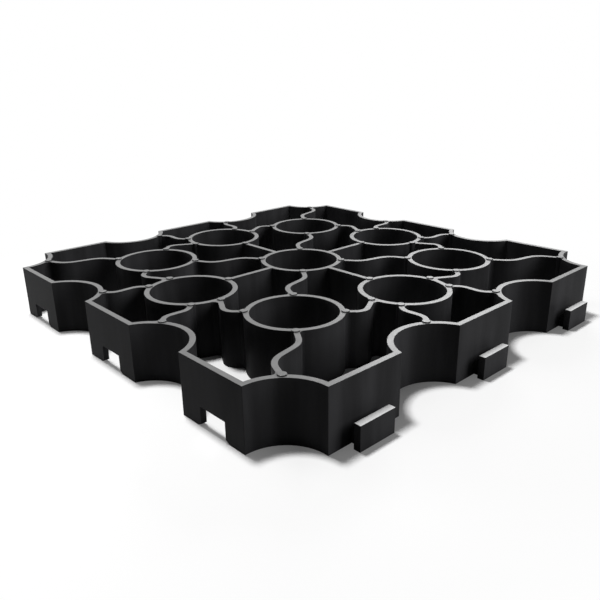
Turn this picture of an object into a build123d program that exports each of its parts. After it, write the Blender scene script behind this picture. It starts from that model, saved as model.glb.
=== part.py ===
from build123d import *
from math import cos, radians, sin, tan
import os

# Interlocking grid panel that lies on level ground under a shed or a path.
# Millimetres, +Z up, the underside on z = 0.
# One moulded piece: rings, curved webs between them, a toothed rim,
# hook tabs on the +X and -Y sides and slots for them on the -X and +Y sides.

# Driving dimensions
side = 333.0            # panel to panel pitch, between opposite tooth faces
height = 38.0           # rim height above the ground
wall = 3.5              # thickness of every upright wall
ring_radius = 30.0      # centre line radius of the nine rings
axial_share = 0.3093    # centre ring to the four rings on the axes, as a share of side
corner_share = 0.245    # centre ring to the four corner rings, along each axis
bay_share = 0.1682      # middle of a side to the middle of a side bay
bay_radius = 30.0       # centre line radius of the eight side bays
bay_depth = 21.0        # how far a side bay's centre line reaches into the panel
corner_radius = 29.0    # centre line radius of the four corner bays
s_turn = 4.0            # degrees that an S web's seats lie off the diagonal
s_leave = 235.0         # way an S web leaves the inner ring, in degrees from +X
s_run = 192.0           # way of its straight run
s_arrive = 246.0        # way it reaches the outer ring or the corner bay
hook_angle = 86.0       # where a hooked web meets an axial ring
hook_leave = 240.0      # way it leaves that ring
rim_angle = 124.0       # where a rim web leaves an axial ring
rim_bay_angle = 34.0    # where the same web meets the side bay
rim_leave = 227.0       # way both its ends run
rim_run = 178.0         # way of its straight run
rounding = 0.45         # share of a web's shortest run that its bends take
nub_radius = 2.6        # round boss at every web end
nub_rise = 0.7          # how far the boss stands above the rim
nub_offset = 1.6        # middle of the boss outside the ring's centre line
nub_edge = 0.3          # rounding of the boss's top edge
slot_width = 21.6       # slot for a neighbour's hook, open underneath
slot_height = 12.0
slot_flare = 3.0        # how much wider the slot's mouth is on each side
flare_height = 1.5
tab_width = 26.6        # upright plate of a hook tab
tab_height = 15.0
tab_thickness = 4.3
tab_gap = 4.7           # room between tooth face and plate
foot_width = 19.0       # foot that joins the plate to the tooth
foot_height = 9.0

half = side / 2
half_wall = wall / 2
axial_pitch = side * axial_share
corner_pitch = side * corner_share
bay_pitch = side * bay_share
tooth_pitch = side / 3
reach = tab_gap + tab_thickness
bay_centre = half - bay_depth + bay_radius
corner_bay = half - half_wall
tab_places = (-tooth_pitch, 0, tooth_pitch)


def on_circle(centre, radius, angle):
    """Point on a circle round centre, angle in degrees."""
    turn = radians(angle)
    return Vector(*centre) + Vector(cos(turn), sin(turn)) * radius


class Seat:
    """Place where a web meets a ring or bay, given by its angle there."""

    def __init__(self, centre, radius, angle):
        self.point = on_circle(centre, radius, angle)
        self.boss = on_circle(centre, radius + nub_offset, angle)


def swap(point):
    """The same point mirrored across the diagonal of the quarter."""
    return Vector(point.Y, point.X)


def heading(angle):
    """Direction in plan, angle in degrees from +X."""
    return Vector(cos(radians(angle)), sin(radians(angle)))


def crossed(one, two):
    """Cross product of two plan directions."""
    return one.X * two.Y - one.Y * two.X


def bent_wall(*points):
    """Wall along straight runs, with bends of one radius that leave room between them."""
    runs = [after - before for before, after in zip(points, points[1:])]
    sharpest = max(one.get_angle(two) for one, two in zip(runs, runs[1:]))
    shortest = min(run.length for run in runs)
    bend = rounding * shortest / tan(radians(sharpest / 2))
    return trace(FilletPolyline(*points, radius=bend), wall)


def double_bent_web(start, leave, run, end, arrive):
    """Wall with a straight run between two ends of equal length, each on its own way."""
    ends = heading(leave) + heading(arrive)
    length = crossed(end - start, heading(run)) / crossed(ends, heading(run))
    return bent_wall(start, start + heading(leave) * length, end - heading(arrive) * length, end)


def hooked_web(start, leave, end, arrive):
    """Wall with one bend, where the ways of its two ends cross."""
    length = crossed(end - start, heading(arrive)) / crossed(heading(leave), heading(arrive))
    return bent_wall(start, start + heading(leave) * length, end)


def quarter_seats():
    """Both ends of the inner S web, outer S web, hooked web and rim web at -X, -Y."""
    axial = (-axial_pitch, 0)
    diagonal = (-corner_pitch, -corner_pitch)
    corner = (-corner_bay, -corner_bay)
    bay = (-bay_centre, -bay_pitch)
    inner = Seat((0, 0), ring_radius, 225 + s_turn), Seat(diagonal, ring_radius, 45 + s_turn)
    outer = Seat(diagonal, ring_radius, 225 + s_turn), Seat(corner, corner_radius, 45 + s_turn)
    hooked = Seat(axial, ring_radius, -hook_angle), Seat(diagonal, ring_radius, 135)
    rim = Seat(axial, ring_radius, -rim_angle), Seat(bay, bay_radius, rim_bay_angle)
    return inner, outer, hooked, rim


def quarter_webs():
    """The six webs of the quarter at -X, -Y."""
    inner, outer, hooked, rim = [[seat.point for seat in pair] for pair in quarter_seats()]
    pair = hooked_web(hooked[0], hook_leave, hooked[1], 315)
    pair += double_bent_web(rim[0], rim_leave, rim_run, rim[1], rim_leave)
    diagonal = Plane(origin=(0, 0, 0), x_dir=(0, 0, 1), z_dir=(1, -1, 0))
    webs = pair + mirror(pair, about=diagonal)
    webs += double_bent_web(inner[0], s_leave, s_run, inner[1], s_arrive)
    return webs + double_bent_web(outer[0], s_leave, s_run, outer[1], s_arrive)


def mirrored(shape):
    """A quarter's shape with its copies in the other three quarters."""
    left = shape + mirror(shape, about=Plane.XZ)
    return left + mirror(left, about=Plane.YZ)


def ring_centres():
    """Centres of the nine rings."""
    far = axial_pitch
    near = corner_pitch
    axial = [(far, 0), (-far, 0), (0, far), (0, -far)]
    diagonal = [(x, y) for x in (-near, near) for y in (-near, near)]
    return [(0, 0)] + axial + diagonal


def bays():
    """Centre and radius of the four corner bays and the eight side bays."""
    corners = [(x, y, corner_radius) for x in (-corner_bay, corner_bay) for y in (-corner_bay, corner_bay)]
    ends = [(x, y, bay_radius) for x in (-bay_centre, bay_centre) for y in (-bay_pitch, bay_pitch)]
    return corners + ends + [(x, y, radius) for y, x, radius in ends]


def rim_plan():
    """The toothed rim: a square with round bays bitten out of it."""
    outer = Rectangle(side, side)
    inner = Rectangle(side - 2 * wall, side - 2 * wall)
    for x, y, radius in bays():
        outer -= Pos(x, y) * Circle(radius - half_wall)
        inner -= Pos(x, y) * Circle(radius + half_wall)
    return outer - inner


def wall_plan():
    """All upright walls seen from above."""
    plan = rim_plan() + mirrored(quarter_webs())
    spoke = Pos(axial_pitch / 2, 0) * Rectangle(axial_pitch - 2 * ring_radius, wall)
    plan += [Rot(0, 0, angle) * spoke for angle in (0, 90, 180, 270)]
    plan += [Pos(*centre) * Circle(ring_radius + half_wall) for centre in ring_centres()]
    plan -= [Pos(*centre) * Circle(ring_radius - half_wall) for centre in ring_centres()]
    return plan


def nub_places():
    """Middles of the bosses: at every web end, and at the outer end of each spoke."""
    inner, outer, hooked, rim = quarter_seats()
    quarter = [seat.boss for pair in (inner, outer, hooked, rim) for seat in pair]
    quarter += [swap(seat.boss) for pair in (hooked, rim) for seat in pair]
    places = [(x * boss.X, y * boss.Y) for boss in quarter for x in (1, -1) for y in (1, -1)]
    spoke_end = axial_pitch - ring_radius - nub_offset
    return places + [(spoke_end, 0), (-spoke_end, 0), (0, spoke_end), (0, -spoke_end)]


def nub():
    """Round boss from the ground to a little above the rim."""
    low = (Align.CENTER, Align.CENTER, Align.MIN)
    boss = Cylinder(nub_radius, height + nub_rise, align=low)
    return fillet(boss.edges().sort_by(Axis.Z)[-1], nub_edge)


def slot():
    """Room for a neighbour's hook foot, cut through a tooth face at -X."""
    upright = slot_width / 2
    mouth = upright + slot_flare
    right = [(mouth, 0), (upright, flare_height), (upright, slot_height)]
    left = [(-y, z) for y, z in reversed(right)]
    outline = make_face(Polyline(*right, *left, close=True))
    return Pos(-half - wall, 0, 0) * extrude(Plane.YZ * outline, 3 * wall)


def tab():
    """Hook tab on a tooth face at +X."""
    low = (Align.MIN, Align.CENTER, Align.MIN)
    foot = Box(half_wall + reach, foot_width, foot_height, align=low)
    plate = Box(tab_thickness, tab_width, tab_height, align=low)
    return Pos(half, 0, 0) * (Pos(-half_wall, 0, 0) * foot + Pos(tab_gap, 0, 0) * plate)


def both_sides(shape):
    """A shape made for one side, at its three teeth and at those of the next side round."""
    along = [Pos(0, place, 0) * shape for place in tab_places]
    return along + [Rot(0, 0, -90) * copy for copy in along]


def build_panel():
    """The whole panel, centred on its box with tabs."""
    panel = extrude(wall_plan(), height)
    boss = nub()
    panel += [Pos(x, y, 0) * boss for x, y in nub_places()]
    panel -= both_sides(slot())
    panel += both_sides(tab())
    return Pos(-reach / 2, reach / 2, 0) * panel


os.makedirs("parts", exist_ok=True)
panel = build_panel()
print("solids", len(panel.solids()), "volume cm3", round(panel.volume / 1000, 1))
print("box", panel.bounding_box())
export_step(panel, "parts/panel.step")
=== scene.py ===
# %% [markdown]
# # A shed base panel
# The object is one square grid of black plastic. Rings and curved webs stand
# upright on the ground, and a toothed rim closes the grid. Slots on two sides
# take the hook tabs of the next panel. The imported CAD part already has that
# shape, so this lesson adds what a mould and a camera add: rounded corners
# where walls meet, small marks, a plastic finish, soft light and a viewpoint.

from math import atan2, cos, degrees, hypot, pi, radians, sin, sqrt

import bpy
from mathutils import Matrix, Vector


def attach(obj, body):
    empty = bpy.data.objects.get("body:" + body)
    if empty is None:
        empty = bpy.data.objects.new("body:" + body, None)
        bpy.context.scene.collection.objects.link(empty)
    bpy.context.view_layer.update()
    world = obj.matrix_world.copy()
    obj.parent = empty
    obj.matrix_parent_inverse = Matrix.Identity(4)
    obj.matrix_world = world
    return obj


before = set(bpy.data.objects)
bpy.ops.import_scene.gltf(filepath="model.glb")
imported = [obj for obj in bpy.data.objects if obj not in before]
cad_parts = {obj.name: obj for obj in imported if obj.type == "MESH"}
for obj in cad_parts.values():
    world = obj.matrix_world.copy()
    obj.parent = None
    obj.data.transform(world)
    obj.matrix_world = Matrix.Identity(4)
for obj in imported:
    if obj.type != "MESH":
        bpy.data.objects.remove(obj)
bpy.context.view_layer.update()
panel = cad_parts["panel"]

# %% [markdown]
# Every piece is placed from the same sizes as the CAD part, in millimetres.
# The grid's middle isn't the middle of the box, because tabs stick out on the
# right and front sides only, so one helper turns plan sizes into metres.

# %% Sizes shared with the part
MM = 0.001
SIDE = 333.0
HEIGHT = 38.0
WALL = 3.5
RING_RADIUS = 30.0
AXIAL_PITCH = SIDE * 0.3093
CORNER_PITCH = SIDE * 0.245
BAY_PITCH = SIDE * 0.1682
BAY_RADIUS = 30.0
BAY_DEPTH = 21.0
CORNER_RADIUS = 29.0
S_TURN = 4.0
S_LEAVE = 235.0
S_ARRIVE = 246.0
HOOK_ANGLE = 86.0
HOOK_LEAVE = 240.0
RIM_ANGLE = 124.0
RIM_BAY_ANGLE = 34.0
RIM_LEAVE = 227.0
TOOTH_PITCH = SIDE / 3
TAB_WIDTH = 26.6
TAB_HEIGHT = 15.0
TAB_GAP = 4.7
TAB_THICKNESS = 4.3

grid_middle = Vector((-(TAB_GAP + TAB_THICKNESS) / 2, (TAB_GAP + TAB_THICKNESS) / 2, 0))


def in_row(x, y, z=0.0):
    """A plan point in millimetres from the grid's middle, as a point of the row frame."""
    return (Vector((x, y, z)) + grid_middle) * MM


print("grid middle in the row frame:", [round(c, 4) for c in in_row(0, 0)])

# %% [markdown]
# ## The viewpoint
# The camera looks down by about 20 degrees at the near corner, between the
# side with slots and the side with tabs. Its place and its lens were worked
# out by laying the CAD part's nine rings and rims over those in the photograph,
# so it is given as a point and two directions, and the third follows. A
# Track To constraint would be quicker, but it always keeps a camera level, and
# the photograph leans a little to one side.

# %% Camera
camera = bpy.data.objects.new("camera", bpy.data.cameras.new("camera"))
bpy.context.scene.collection.objects.link(camera)
bpy.context.scene.camera = camera
camera.data.sensor_width = 36.0
camera.data.lens = 37.885
camera.data.clip_start = 0.01
forward = Vector((0.63629, 0.69265, -0.33966)).normalized()
right = Vector((0.73286, -0.68023, -0.01427))
right = (right - forward * right.dot(forward)).normalized()
axes = Matrix((right, right.cross(forward), -forward)).transposed()
camera_place = Vector((-0.33074, -0.34865, 0.17731))
camera.matrix_world = Matrix.Translation(camera_place) @ axes.to_4x4()
print("camera looks down by", round(degrees(-atan2(forward.z, hypot(forward.x, forward.y))), 1))

# %% [markdown]
# ## Black moulded plastic
# Panels like this are usually polypropylene or polyethylene with carbon black:
# nearly black, satin, with a fine grain from the mould, faint flow marks, and
# rim tops that look rubbed a little paler. Here the rims' paler grey is part
# wear and part painted sheen, and the hook plates' pale tops are a painted
# highlight. Three effects make up this finish: grain, flow marks and worn tops
# with painted sheen. Each is a node group with its own inputs, so that another
# plastic could use it with other values. A group gives only a value or a mask,
# and the shader stays in the material. The marks could be painted on an image,
# but patterns that are worked out from a wall's own place need no unwrapped
# surface and never run out of detail.

# %% Helpers for node groups


def new_group(name, inputs, outputs):
    """A shader node group with named float inputs and outputs, and its two end nodes."""
    tree = bpy.data.node_groups.new(name, "ShaderNodeTree")
    for label, value in inputs.items():
        socket = tree.interface.new_socket(label, in_out="INPUT", socket_type="NodeSocketFloat")
        socket.default_value = value
    for label in outputs:
        tree.interface.new_socket(label, in_out="OUTPUT", socket_type="NodeSocketFloat")
    return tree, tree.nodes.new("NodeGroupInput"), tree.nodes.new("NodeGroupOutput")


def add_node(tree, kind, links=None, **settings):
    """A node with its settings, and links from other sockets or values into its inputs."""
    node = tree.nodes.new(kind)
    for key, value in settings.items():
        setattr(node, key, value)
    for key, value in (links or {}).items():
        if isinstance(value, bpy.types.NodeSocket):
            tree.links.new(value, node.inputs[key])
        else:
            node.inputs[key].default_value = value
    return node


print("ready:", new_group.__name__, "and", add_node.__name__)

# %% [markdown]
# Grain is a very fine noise. Flow marks are long soft streaks, stretched along
# the height of the walls, because the melt climbs the walls of the mould. One
# noise could give both, but then fine and coarse marks would always meet in
# the same places, so each has its own scale.

# %% Grain and flow marks


def make_grain():
    """Fine mould grain: a height from 0 to 1."""
    tree, given, result = new_group("mould grain", {"Scale": 900.0, "Mottle Scale": 90.0}, ["Height"])
    place = add_node(tree, "ShaderNodeTexCoord").outputs["Object"]
    fine = add_node(tree, "ShaderNodeTexNoise", {
        "Vector": place, "Scale": given.outputs["Scale"], "Detail": 3.0, "Roughness": 0.6})
    broad = add_node(tree, "ShaderNodeTexNoise", {
        "Vector": place, "Scale": given.outputs["Mottle Scale"], "Detail": 2.0})
    mixed = add_node(tree, "ShaderNodeMath", {0: broad.outputs["Fac"], 1: 0.5, 2: fine.outputs["Fac"]},
                     operation="MULTIPLY_ADD")
    tree.links.new(mixed.outputs[0], result.inputs["Height"])
    return tree


def make_flow_marks():
    """Long soft streaks up the walls, from 0 to 1."""
    tree, given, result = new_group("flow marks", {"Scale": 60.0, "Stretch": 0.12}, ["Mask"])
    place = add_node(tree, "ShaderNodeTexCoord").outputs["Object"]
    split = add_node(tree, "ShaderNodeSeparateXYZ", {0: place})
    tall = add_node(tree, "ShaderNodeMath", {0: split.outputs["Z"], 1: given.outputs["Stretch"]},
                    operation="MULTIPLY")
    joined = add_node(tree, "ShaderNodeCombineXYZ", {
        "X": split.outputs["X"], "Y": split.outputs["Y"], "Z": tall.outputs[0]})
    streaks = add_node(tree, "ShaderNodeTexNoise", {
        "Vector": joined.outputs[0], "Scale": given.outputs["Scale"], "Detail": 4.0, "Roughness": 0.55})
    soft = add_node(tree, "ShaderNodeMapRange", {
        "Value": streaks.outputs["Fac"], "From Min": 0.3, "From Max": 0.7}, interpolation_type="SMOOTHSTEP")
    tree.links.new(soft.outputs["Result"], result.inputs["Mask"])
    return tree


grain = make_grain()
flow_marks = make_flow_marks()
print("groups:", grain.name, "and", flow_marks.name)

# %% [markdown]
# Feet, boards and other panels rub the tops of the walls, and flat tops catch
# the light. These tops are surfaces that face up and lie between two heights, so
# the mask is the upward part of the normal, times a step at each height, broken
# up by noise so that it isn't even. On the rims it carries wear and a painted
# sheen, and on the hook plates a painted highlight. A second material on those
# faces would have a hard border, and the mask needs no choice of faces.

# %% Worn tops and painted sheen


def make_worn_and_sheen_tops():
    """Mask of the flat tops between two heights, made uneven by noise, for worn rims with painted sheen and
    for painted highlights.
    """
    tree, given, result = new_group(
        "worn and sheen tops", {"Above": 0.03, "Below": 0.1, "Unevenness": 0.35, "Scale": 140.0}, ["Mask"])
    place = add_node(tree, "ShaderNodeTexCoord").outputs["Object"]
    facing = add_node(tree, "ShaderNodeNewGeometry").outputs["Normal"]
    up = add_node(tree, "ShaderNodeSeparateXYZ", {0: facing})
    steep = add_node(tree, "ShaderNodeMapRange", {
        "Value": up.outputs["Z"], "From Min": 0.55, "From Max": 0.95}, interpolation_type="SMOOTHSTEP")
    level = add_node(tree, "ShaderNodeSeparateXYZ", {0: place})
    over = add_node(tree, "ShaderNodeMath", {0: level.outputs["Z"], 1: given.outputs["Above"]},
                    operation="GREATER_THAN")
    under = add_node(tree, "ShaderNodeMath", {0: level.outputs["Z"], 1: given.outputs["Below"]},
                     operation="LESS_THAN")
    high = add_node(tree, "ShaderNodeMath", {0: over.outputs[0], 1: under.outputs[0]}, operation="MULTIPLY")
    noise = add_node(tree, "ShaderNodeTexNoise", {
        "Vector": place, "Scale": given.outputs["Scale"], "Detail": 5.0, "Roughness": 0.65})
    loss = add_node(tree, "ShaderNodeMath", {0: noise.outputs["Fac"], 1: given.outputs["Unevenness"]},
                    operation="MULTIPLY")
    kept = add_node(tree, "ShaderNodeMath", {0: 1.0, 1: loss.outputs[0]}, operation="SUBTRACT")
    tops = add_node(tree, "ShaderNodeMath", {0: steep.outputs["Result"], 1: high.outputs[0]},
                    operation="MULTIPLY")
    worn = add_node(tree, "ShaderNodeMath", {0: tops.outputs[0], 1: kept.outputs[0]}, operation="MULTIPLY")
    tree.links.new(worn.outputs[0], result.inputs["Mask"])
    return tree


worn_and_sheen_tops = make_worn_and_sheen_tops()
print("group:", worn_and_sheen_tops.name)

# %% [markdown]
# The material mixes several colours, and it uses the tops mask twice: for the
# rims' wear and painted sheen, and for a painted highlight on the tops of the
# hook plates, which slide in a neighbour's slots. Two short helpers keep that
# readable.

# %% Mixing colours, wear and painted sheen


def mixed_colour(tree, factor, first, second):
    """Colour mix of two sockets or plain colours."""
    mix = add_node(tree, "ShaderNodeMix", data_type="RGBA")
    tree.links.new(factor, mix.inputs[0])
    for socket, value in ((mix.inputs[6], first), (mix.inputs[7], second)):
        if isinstance(value, bpy.types.NodeSocket):
            tree.links.new(value, socket)
        else:
            socket.default_value = value
    return mix.outputs[2]


def wear_and_sheen_share(tree, wear_and_sheen, **settings):
    """The tops mask with its own settings, and the same mask times an amount of wear and painted sheen."""
    mask = add_node(tree, "ShaderNodeGroup", node_tree=worn_and_sheen_tops)
    for label, value in settings.items():
        mask.inputs[label].default_value = value
    amount = add_node(tree, "ShaderNodeMath", {0: mask.outputs["Mask"], 1: wear_and_sheen}, operation="MULTIPLY")
    return mask.outputs["Mask"], amount.outputs[0]


print("ready:", mixed_colour.__name__, "and", wear_and_sheen_share.__name__)

# %% [markdown]
# The walls are a deep black. The rims are grey, which is part wear and part
# painted sheen, and the tops of the hook plates are paler still, a painted
# highlight. The rims also have a thin coat, which mirrors the lamps softly, as
# plastic does where it is rubbed smooth. Roughness follows the flow marks. The
# CAD shape's edges are sharp and those of a moulded part never are, so a Bevel
# node rounds the look of them, and the grain goes on top of it in a Bump node.
# Values that are the same everywhere are set on the shader's own sockets.

# %% The plastic
WALL_BLACK = (0.010, 0.010, 0.0105, 1.0)
STREAK_BLACK = (0.0175, 0.0175, 0.0185, 1.0)
# Rim grey: wear, plus a painted sheen where the flat tops catch light.
RIM_WEAR_AND_SHEEN_GREY = (0.11, 0.11, 0.11, 1.0)
# Hook plate tops: a painted highlight.
HOOK_PAINTED_HIGHLIGHT_GREY = (0.40, 0.40, 0.40, 1.0)
RIM_ABOVE = (HEIGHT - 8.0) * MM
HOOK_ABOVE = (TAB_HEIGHT - 0.5) * MM
HOOK_BELOW = (TAB_HEIGHT + 1.0) * MM
HOOK_UNEVENNESS = 0.12


def moulded_plastic(name, wear_and_sheen, rough_low, rough_high, grain_depth, edge):
    """Black moulded plastic with its amount of rim wear and painted sheen, roughness range, depth of grain
    and edge radius in metres.
    """
    material = bpy.data.materials.new(name)
    material.use_nodes = True
    tree = material.node_tree
    shader = tree.nodes["Principled BSDF"]
    shader.inputs["IOR"].default_value = 1.5
    shader.inputs["Specular IOR Level"].default_value = 0.01
    shader.inputs["Coat Roughness"].default_value = 0.3
    streaks = add_node(tree, "ShaderNodeGroup", node_tree=flow_marks)
    body = mixed_colour(tree, streaks.outputs["Mask"], WALL_BLACK, STREAK_BLACK)
    # The rims get wear with a painted sheen, and the hook plates' tops a painted highlight.
    rim_mask, rim_wear_and_sheen = wear_and_sheen_share(tree, wear_and_sheen, Above=RIM_ABOVE)
    hook_painted_highlight = wear_and_sheen_share(tree, 1.0, Above=HOOK_ABOVE, Below=HOOK_BELOW, Unevenness=HOOK_UNEVENNESS)[1]
    with_rim = mixed_colour(tree, rim_wear_and_sheen, body, RIM_WEAR_AND_SHEEN_GREY)
    tree.links.new(mixed_colour(tree, hook_painted_highlight, with_rim, HOOK_PAINTED_HIGHLIGHT_GREY), shader.inputs["Base Color"])
    tree.links.new(rim_mask, shader.inputs["Coat Weight"])
    rough = add_node(tree, "ShaderNodeMapRange", {
        "Value": streaks.outputs["Mask"], "To Min": rough_low, "To Max": rough_high})
    tree.links.new(rough.outputs["Result"], shader.inputs["Roughness"])
    pits = add_node(tree, "ShaderNodeGroup", node_tree=grain)
    soft = add_node(tree, "ShaderNodeBevel", {"Radius": edge}, samples=4)
    bump = add_node(tree, "ShaderNodeBump", {
        "Height": pits.outputs["Height"], "Distance": grain_depth, "Strength": 1.0,
        "Normal": soft.outputs["Normal"]})
    tree.links.new(bump.outputs["Normal"], shader.inputs["Normal"])
    return material


plastic = moulded_plastic("black moulded plastic", wear_and_sheen=0.9, rough_low=0.34, rough_high=0.44,
                          grain_depth=0.00004, edge=0.0006)
panel.data.materials.clear()
panel.data.materials.append(plastic)
print("panel finish:", panel.data.materials[0].name)

# %% [markdown]
# ## Rounded inside corners
# Where a web meets a ring or a bay, a mould rarely leaves a sharp inside
# corner: a small round fillet fills it, and it widens the wall there. Seen
# from above, each fillet is a thin three-sided shape between the web's side,
# the ring's side and an arc that touches both. A Bevel modifier could round
# such corners too, but the panel's own mesh stays as the CAD part gave it. The
# shape follows a rule, so it is worked out for every web end, drawn as a closed
# curve, and raised to the rim's height by one Geometry Nodes tree.

# %% Where webs meet rings and bays


def on_circle(centre, radius, angle):
    """Point on a circle, with the angle in degrees."""
    return Vector(centre) + Vector((cos(radians(angle)), sin(radians(angle)))) * radius


def heading(angle):
    """Direction with the angle in degrees."""
    return Vector((cos(radians(angle)), sin(radians(angle))))


def web_ends():
    """Circle centre and radius, place and leaving way of each web end in the quarter at -X, -Y."""
    half = SIDE / 2
    axial = Vector((-AXIAL_PITCH, 0))
    diagonal = Vector((-CORNER_PITCH, -CORNER_PITCH))
    corner = Vector((WALL / 2 - half, WALL / 2 - half))
    bay = Vector((BAY_DEPTH - half - BAY_RADIUS, -BAY_PITCH))
    diagonal_ends = [
        (Vector((0, 0)), RING_RADIUS, 225 + S_TURN, S_LEAVE),
        (diagonal, RING_RADIUS, 45 + S_TURN, S_ARRIVE - 180),
        (diagonal, RING_RADIUS, 225 + S_TURN, S_LEAVE),
        (corner, CORNER_RADIUS, 45 + S_TURN, S_ARRIVE - 180),
    ]
    paired_ends = [
        (diagonal, RING_RADIUS, 135, 135),
        (axial, RING_RADIUS, -HOOK_ANGLE, HOOK_LEAVE),
        (axial, RING_RADIUS, -RIM_ANGLE, RIM_LEAVE),
        (bay, BAY_RADIUS, RIM_BAY_ANGLE, RIM_LEAVE - 180),
    ]
    return diagonal_ends, paired_ends


diagonal_ends, paired_ends = web_ends()
print("web ends in a quarter:", len(diagonal_ends) + 2 * len(paired_ends))

# %% [markdown]
# A fillet of radius r touches the circle of the ring's outer side and the
# straight side of the web. Its middle is r from the side line and R + r from
# the ring's middle, which gives one point. From there the outline runs along
# the arc, then back through the corner, a little inside the walls so that no
# gap shows.

# %% Outline of one fillet
FILLET_RADIUS = 3.2
FILLET_SINK = 0.9
ARC_STEPS = 7


def along_web(centre, point, way, across, offset, reach):
    """Where the line beside a web, offset from its middle, is at a given reach from the circle's centre."""
    start = point + across * offset - centre
    ahead = start.dot(way)
    return centre + start + way * (sqrt(ahead * ahead - start.length_squared + reach * reach) - ahead)


def fillet_outline(centre, radius, point, way, side):
    """Closed outline of the fillet on one side of a web."""
    outer = radius + WALL / 2
    across = Vector((-way.y, way.x)) * side
    reach = outer + FILLET_RADIUS
    middle = along_web(centre, point, way, across, WALL / 2 + FILLET_RADIUS, reach)
    on_web = middle - across * FILLET_RADIUS
    on_ring = centre + (middle - centre) * (outer / reach)
    first = on_web - middle
    last = on_ring - middle
    turn = atan2(first.x * last.y - first.y * last.x, first.dot(last))
    arc = []
    for step in range(ARC_STEPS + 1):
        angle = turn * step / ARC_STEPS
        arc.append(middle + Vector((first.x * cos(angle) - first.y * sin(angle),
                                    first.x * sin(angle) + first.y * cos(angle))))
    sunk_ring = on_ring + (centre - on_ring).normalized() * FILLET_SINK
    sunk_web = on_web - across * FILLET_SINK
    root = along_web(centre, point, way, across, WALL / 2 - FILLET_SINK, outer - FILLET_SINK)
    return arc + [sunk_ring, root, sunk_web]


print("points on a fillet's arc:", ARC_STEPS + 1)

# %% [markdown]
# The webs are the same in all four quarters, and the hooked webs and the rim
# webs also have a twin across the quarter's diagonal. So the outlines of one
# quarter are mirrored, which is quicker and surer than working each one out.
# A mirror image runs the other way round, so every outline is put in
# counter-clockwise order at the end: then its face looks up.

# %% All the fillets


def mirrored_copies(outline, swapped):
    """An outline in all four quarters, and across the diagonal where the web has a twin."""
    shapes = [outline]
    if swapped:
        shapes.append([Vector((p.y, p.x)) for p in outline])
    quarters = [(x, y) for x in (1, -1) for y in (1, -1)]
    return [[Vector((p.x * x, p.y * y)) for p in shape] for shape in shapes for x, y in quarters]


def area(shape):
    """Signed area of a closed outline."""
    return sum(a.x * b.y - b.x * a.y for a, b in zip(shape, shape[1:] + shape[:1])) / 2


def all_fillet_outlines():
    """Outlines of every fillet of the panel, all running counter-clockwise."""
    outlines = []
    for ends, swapped in ((diagonal_ends, False), (paired_ends, True)):
        for centre, radius, place, way in ends:
            point = on_circle(centre, radius, place)
            for side in (1, -1):
                outline = fillet_outline(centre, radius, point, heading(way), side)
                outlines += mirrored_copies(outline, swapped)
    return [shape if area(shape) > 0 else shape[::-1] for shape in outlines]


fillet_outlines = all_fillet_outlines()
print("fillets:", len(fillet_outlines), "smallest area in mm2:", round(min(map(area, fillet_outlines)), 2))

# %% [markdown]
# The tree raises closed outlines into upright pieces: Fill Curve makes the
# flat bottom, Extrude Mesh lifts it, and the bottom is kept and turned over so
# that each piece is a closed body with its faces outwards. A curve's own
# Extrude setting could raise it too, but it grows both ways from the curve,
# while the tree starts at the curve and takes its height as an input.

# %% The tree that raises outlines
WELD_DISTANCE = 0.000001


def new_geometry_tree(name, floats):
    """An empty Geometry Nodes tree with named float inputs and a material input."""
    tree = bpy.data.node_groups.new(name, "GeometryNodeTree")
    tree.interface.new_socket("Geometry", in_out="INPUT", socket_type="NodeSocketGeometry")
    for label, value in floats.items():
        socket = tree.interface.new_socket(label, in_out="INPUT", socket_type="NodeSocketFloat")
        socket.default_value = value
    tree.interface.new_socket("Finish", in_out="INPUT", socket_type="NodeSocketMaterial")
    tree.interface.new_socket("Geometry", in_out="OUTPUT", socket_type="NodeSocketGeometry")
    return tree, tree.nodes.new("NodeGroupInput"), tree.nodes.new("NodeGroupOutput")


def make_raised_outlines():
    """Closed curves to upright closed bodies of a given height."""
    tree, given, result = new_geometry_tree("raise outlines", {"Height": 0.01})
    flat = add_node(tree, "GeometryNodeFillCurve", {"Curve": given.outputs["Geometry"]}, mode="NGONS")
    lifted = add_node(tree, "GeometryNodeExtrudeMesh", {
        "Mesh": flat.outputs["Mesh"], "Offset Scale": given.outputs["Height"], "Individual": False})
    under = add_node(tree, "GeometryNodeFlipFaces", {"Mesh": flat.outputs["Mesh"]})
    joined = add_node(tree, "GeometryNodeJoinGeometry", {"Geometry": lifted.outputs["Mesh"]})
    tree.links.new(under.outputs["Mesh"], joined.inputs["Geometry"])
    closed = add_node(tree, "GeometryNodeMergeByDistance", {
        "Geometry": joined.outputs[0], "Distance": WELD_DISTANCE})
    real = add_node(tree, "GeometryNodeRealizeInstances", {"Geometry": closed.outputs[0]})
    finished = add_node(tree, "GeometryNodeSetMaterial", {
        "Geometry": real.outputs[0], "Material": given.outputs["Finish"]})
    tree.links.new(finished.outputs[0], result.inputs["Geometry"])
    return tree


raised_outlines = make_raised_outlines()
print("tree:", raised_outlines.name)

# %% [markdown]
# A modifier's inputs are set by the identifier of each socket, before the
# object is first evaluated. The result becomes a plain mesh at the origin, and
# the curve with its modifier is thrown away. A live modifier would do for a
# picture, but a plain mesh is the same everywhere it is opened.

# %% From a tree to a plain piece


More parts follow.
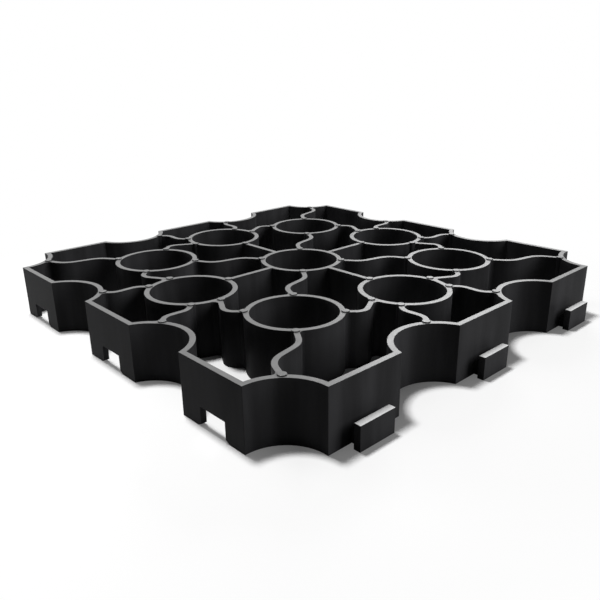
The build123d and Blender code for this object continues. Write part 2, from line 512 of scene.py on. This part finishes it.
def plain_piece(name, source, tree, **inputs):
    """Runs the tree on the source object and keeps only the plain mesh, as a new object."""
    modifier = source.modifiers.new("shape", "NODES")
    modifier.node_group = tree
    names = {item.name: item.identifier for item in tree.interface.items_tree if item.in_out == "INPUT"}
    for label, value in inputs.items():
        modifier[names[label]] = value
    evaluated = source.evaluated_get(bpy.context.evaluated_depsgraph_get())
    mesh = bpy.data.meshes.new_from_object(evaluated)
    mesh.name = name
    bpy.data.objects.remove(source)
    piece = bpy.data.objects.new(name, mesh)
    bpy.context.scene.collection.objects.link(piece)
    heights = [vertex.co.z / MM for vertex in mesh.vertices]
    low, high = round(min(heights), 2), round(max(heights), 2)
    print(name, "has", len(mesh.polygons), "faces, from", low, "to", high, "mm")
    return piece


def outline_curves(name, outlines, z):
    """One curve object with a closed straight-sided spline for each outline."""
    curve = bpy.data.curves.new(name, "CURVE")
    curve.dimensions = "3D"
    for outline in outlines:
        spline = curve.splines.new("POLY")
        spline.points.add(len(outline) - 1)
        for spot, p in zip(spline.points, outline):
            spot.co = (*in_row(p.x, p.y, z), 1.0)
        spline.use_cyclic_u = True
    source = bpy.data.objects.new(name, curve)
    bpy.context.scene.collection.objects.link(source)
    return source


print("ready:", plain_piece.__name__, "and", outline_curves.__name__)

# %% [markdown]
# Now the outlines become fillets of the rim's height. They start and end a
# hair inside the panel's bottom and top, because two faces in one place
# flicker.

# %% Web fillets
SKIN = 0.03
fillet_curves = outline_curves("fillet outlines", fillet_outlines, SKIN)
web_fillets = plain_piece("web_fillets", fillet_curves, raised_outlines,
                          Height=(HEIGHT - 2 * SKIN) * MM, Finish=plastic)
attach(web_fillets, "root")

# %% [markdown]
# Each hook plate has a small step in the middle of its top edge, probably where
# two parts of the mould meet. It could be a notch cut into the plate, but a
# thin pad over one half of the plate's top looks the same and leaves the plate
# alone. So it is one more closed outline, raised by the same tree, and it too
# stays a hair inside the plate's faces.

# %% Steps on the hook plates
STEP_RISE = 0.35


def step_outline(place, turned):
    """Outline of the step of one hook tab: on the front side, or turned round to the right side."""
    inner = SIDE / 2 + TAB_GAP + SKIN
    outer = SIDE / 2 + TAB_GAP + TAB_THICKNESS - SKIN
    end = place + TAB_WIDTH / 2 - SKIN
    corners = [(place, -outer), (end, -outer), (end, -inner), (place, -inner)]
    return [Vector((-y, x)) if turned else Vector((x, y)) for x, y in corners]


step_outlines = [step_outline(place, turned) for place in (-TOOTH_PITCH, 0, TOOTH_PITCH)
                 for turned in (False, True)]
step_curves = outline_curves("step outlines", step_outlines, TAB_HEIGHT - STEP_RISE)
hook_steps = plain_piece("hook_steps", step_curves, raised_outlines,
                         Height=2 * STEP_RISE * MM, Finish=plastic)
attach(hook_steps, "root")

# %% [markdown]
# ## The floor
# The floor is one large pale plane that catches the panel's soft shadow. Under
# the panel the lift is held back and grows only towards a little outside it, so
# the floor there stays darker: that is painted shade. Further out the floor is
# lifted a little, and further away it turns into an even white, as a paper sweep
# does. The mix reads only the floor's own coordinates and the Light Path:
# camera, mirror and glass rays see the lift and the white, and neither gives
# extra light to the panel. More lamps could whiten the floor too, but they
# would wash out the black plastic.

# %% Floor
FLOOR_GREY = 0.85
FLOOR_LIFT = 0.15
# Painted shade: the lift grows only between these distances, so the floor under and near the panel stays
# darker.
PAINTED_SHADE_RAMP = (0.110, 0.185)
WHITE_RAMP = (0.21, 0.33)
FLOOR_REACH = 6.0
FLOOR_DROP = 0.0002


def smooth_ramp(tree, value, low, high):
    """A value that rises smoothly from 0 at low to 1 at high."""
    ramp = add_node(tree, "ShaderNodeMapRange", {"Value": value, "From Min": low, "From Max": high},
                    interpolation_type="SMOOTHSTEP")
    return ramp.outputs["Result"]


def seen_rays(tree):
    """1 for camera, mirror and glass rays, and 0 for the rays that light things."""
    path = add_node(tree, "ShaderNodeLightPath").outputs
    first = add_node(tree, "ShaderNodeMath", {0: path["Is Camera Ray"], 1: path["Is Glossy Ray"]},
                     operation="MAXIMUM")
    both = add_node(tree, "ShaderNodeMath", {0: first.outputs[0], 1: path["Is Transmission Ray"]},
                    operation="MAXIMUM")
    return both.outputs[0]


def make_floor_paint():
    """Pale paint with painted shade under and near the panel, lifted further out and fading to white away
    from it.
    """
    material = bpy.data.materials.new("pale floor")
    material.use_nodes = True
    tree = material.node_tree
    shader = tree.nodes["Principled BSDF"]
    shader.inputs["Base Color"].default_value = (FLOOR_GREY, FLOOR_GREY, FLOOR_GREY, 1.0)
    shader.inputs["Roughness"].default_value = 0.9
    shader.inputs["Specular IOR Level"].default_value = 0.0
    place = add_node(tree, "ShaderNodeTexCoord").outputs["Object"]
    parts = add_node(tree, "ShaderNodeSeparateXYZ", {0: place})
    sides = [add_node(tree, "ShaderNodeMath", {0: parts.outputs[axis]}, operation="ABSOLUTE").outputs[0]
             for axis in ("X", "Y")]
    away = add_node(tree, "ShaderNodeMath", {0: sides[0], 1: sides[1]}, operation="MAXIMUM").outputs[0]
    # Painted shade: little or no lift under and near the panel.
    near = smooth_ramp(tree, away, *PAINTED_SHADE_RAMP)
    far = smooth_ramp(tree, away, *WHITE_RAMP)
    seen = seen_rays(tree)
    lift = add_node(tree, "ShaderNodeMath", {0: near, 1: FLOOR_LIFT}, operation="MULTIPLY").outputs[0]
    glow = add_node(tree, "ShaderNodeMath", {0: lift, 1: seen}, operation="MULTIPLY").outputs[0]
    lifted = add_node(tree, "ShaderNodeEmission", {"Strength": glow})
    close = add_node(tree, "ShaderNodeAddShader", {0: shader.outputs[0], 1: lifted.outputs[0]})
    white = add_node(tree, "ShaderNodeEmission", {"Strength": 1.0})
    share = add_node(tree, "ShaderNodeMath", {0: far, 1: seen}, operation="MULTIPLY").outputs[0]
    paint = add_node(tree, "ShaderNodeMixShader", {0: share, 1: close.outputs[0], 2: white.outputs[0]})
    tree.links.new(paint.outputs[0], tree.nodes["Material Output"].inputs["Surface"])
    return material


floor_mesh = bpy.data.meshes.new("floor")
floor_mesh.from_pydata([(x * FLOOR_REACH, y * FLOOR_REACH, -FLOOR_DROP) for x, y in
                        ((-1, -1), (1, -1), (1, 1), (-1, 1))], [], [(0, 1, 2, 3)])
floor_mesh.materials.append(make_floor_paint())
floor = bpy.data.objects.new("floor", floor_mesh)
bpy.context.scene.collection.objects.link(floor)
print("floor reaches", FLOOR_REACH, "m each way")

# %% [markdown]
# ## Light
# The panel lies in a bright white room. An even world fills the cells a
# little. A picture of a room would light them too, but an even colour needs no
# file. The Map Range node gives the low level to the rays that light things,
# and white to the rays that only look.

# %% World
WORLD_LEVEL = 0.06


def make_world(level):
    """Even light of a given level, which camera, mirror and glass rays see as white."""
    world = bpy.data.worlds.new("white room")
    world.use_nodes = True
    tree = world.node_tree
    background = tree.nodes["Background"]
    background.inputs["Color"].default_value = (1.0, 1.0, 1.0, 1.0)
    strength = add_node(tree, "ShaderNodeMapRange", {
        "Value": seen_rays(tree), "To Min": level, "To Max": 1.0})
    tree.links.new(strength.outputs["Result"], background.inputs["Strength"])
    bpy.context.scene.world = world


make_world(WORLD_LEVEL)
print("world lights at a level of", WORLD_LEVEL)

# %% [markdown]
# A soft lamp nearly overhead draws the narrow shadow. The large lamp in front
# on the right lights the teeth and the tops of the hook plates. It is linked
# to the panel's own pieces only, so that it draws no second shadow on the
# floor, and it has no mirror image, which from behind would turn the rims
# plain white. Two small lamps behind are mirrored by the flat rim tops as pale
# lines. One large lamp could replace the last two, but it would also light
# the insides of the cells, which are nearly black in the photograph.

# %% Lamps


def soft_lamp(name, place, width, height, watts):
    """A rectangular area lamp that shines from a place towards the frame's origin."""
    light = bpy.data.lights.new(name, "AREA")
    light.shape = "RECTANGLE"
    light.size = width
    light.size_y = height
    light.energy = watts
    lamp = bpy.data.objects.new(name, light)
    bpy.context.scene.collection.objects.link(lamp)
    lamp.location = place
    lamp.rotation_euler = (-Vector(place)).to_track_quat("-Z", "Y").to_euler()
    lamp.visible_camera = False
    print(name, "gives", round(watts / (pi * width * height), 1), "in its own direction")
    return lamp


key = soft_lamp("front right", (0.95, -1.35, 0.85), 1.2, 1.2, 66.0)
soft_lamp("overhead", (-0.12, 0.30, 1.6), 0.25, 0.25, 25.5)
soft_lamp("behind right", (1.30, 0.75, 0.84), 0.6, 0.6, 4.8)
soft_lamp("behind left", (-0.7, 1.0, 0.12), 0.5, 0.2, 5.0)
lit_by_key = bpy.data.collections.new("lit by the key lamp")
for piece in (panel, web_fillets, hook_steps):
    lit_by_key.objects.link(piece)
key.light_linking.receiver_collection = lit_by_key
key.visible_glossy = False

# %% [markdown]
# ## Leaving the scene
# View settings stay plain, so that a colour renders about as it is written.

# %% View and finish
bpy.context.scene.view_settings.view_transform = "Standard"
